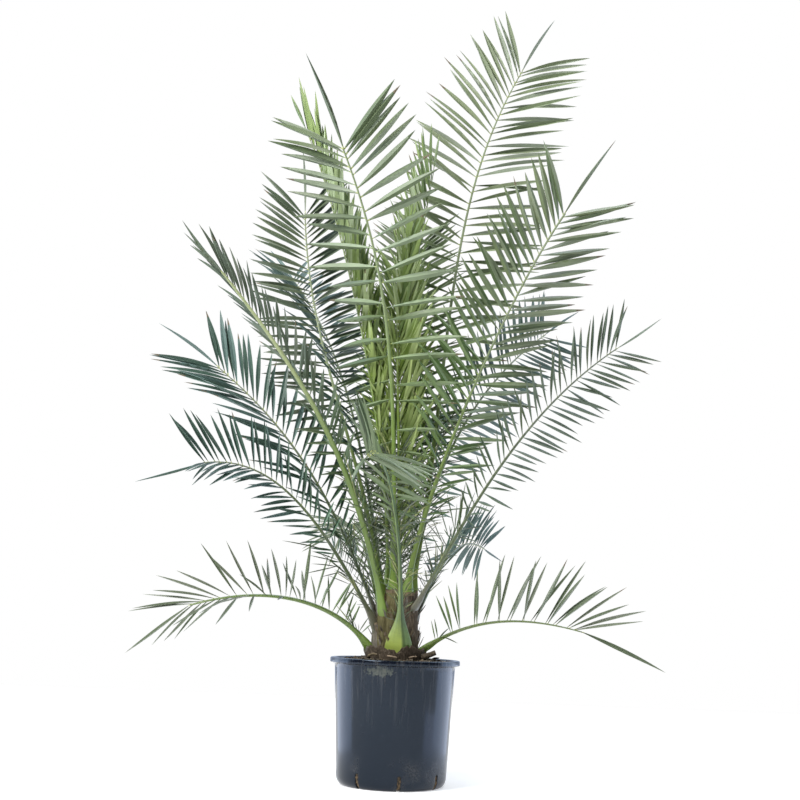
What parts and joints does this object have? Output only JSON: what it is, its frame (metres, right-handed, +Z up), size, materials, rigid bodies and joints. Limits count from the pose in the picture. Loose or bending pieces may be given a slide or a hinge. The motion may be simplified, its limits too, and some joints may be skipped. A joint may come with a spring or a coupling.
{
  "type": "potted canary island date palm",
  "caption": "Young date palm with long arching feather fronds round a short fibrous trunk, in a round black nursery pot of soil.",
  "frame": {"origin": "middle of the pot's flat underside", "axes": "+Z up, -Y the plant's front, +X to the right as seen from the front"},
  "size_m": [1.5098, 1.909, 2.5347],
  "materials": {
    "pot": "glossy black moulded plastic with light scuffs and dirt near the rim",
    "soil": "crumbly dark brown compost",
    "trunk": "rough brown fibre and old leaf bases",
    "stubs": "dry grey-brown cut leaf bases",
    "olive_fronds": "satin olive green leaflets with paler undersides on yellow-green ribs",
    "blue_green_fronds": "satin blue-green leaflets with paler undersides on yellow-green ribs",
    "young_fronds": "satin fresh yellow-green leaflets on yellow-green ribs"
  },
  "bodies": {
    "root": {"frond_back_left": "blue_green_fronds", "frond_back_low": "olive_fronds", "frond_back_low_end": "olive_fronds", "frond_back_mid": "olive_fronds", "frond_back_mid_end": "olive_fronds", "frond_back_right": "blue_green_fronds", "frond_back_tall": "young_fronds", "frond_front": "olive_fronds", "frond_front_end": "olive_fronds", "frond_front_left": "young_fronds", "frond_left_back": "olive_fronds", "frond_left_low": "blue_green_fronds", "frond_left_low_end": "blue_green_fronds", "frond_left_mid": "blue_green_fronds", "frond_left_upper": "olive_fronds", "frond_low_left": "olive_fronds", "frond_low_left_end": "olive_fronds", "frond_low_right": "olive_fronds", "frond_low_right_end": "olive_fronds", "frond_right_back": "blue_green_fronds", "frond_right_back_end": "blue_green_fronds", "frond_right_mid": "olive_fronds", "frond_right_upper": "olive_fronds", "frond_tall_right": "olive_fronds", "frond_young_centre": "young_fronds", "frond_young_left": "young_fronds", "frond_young_right": "young_fronds", "pot": "pot", "soil": "soil", "stub_1": "stubs", "stub_2": "stubs", "stub_3": "stubs", "stub_4": "stubs", "trunk": "trunk"}
  },
  "joints": []
}
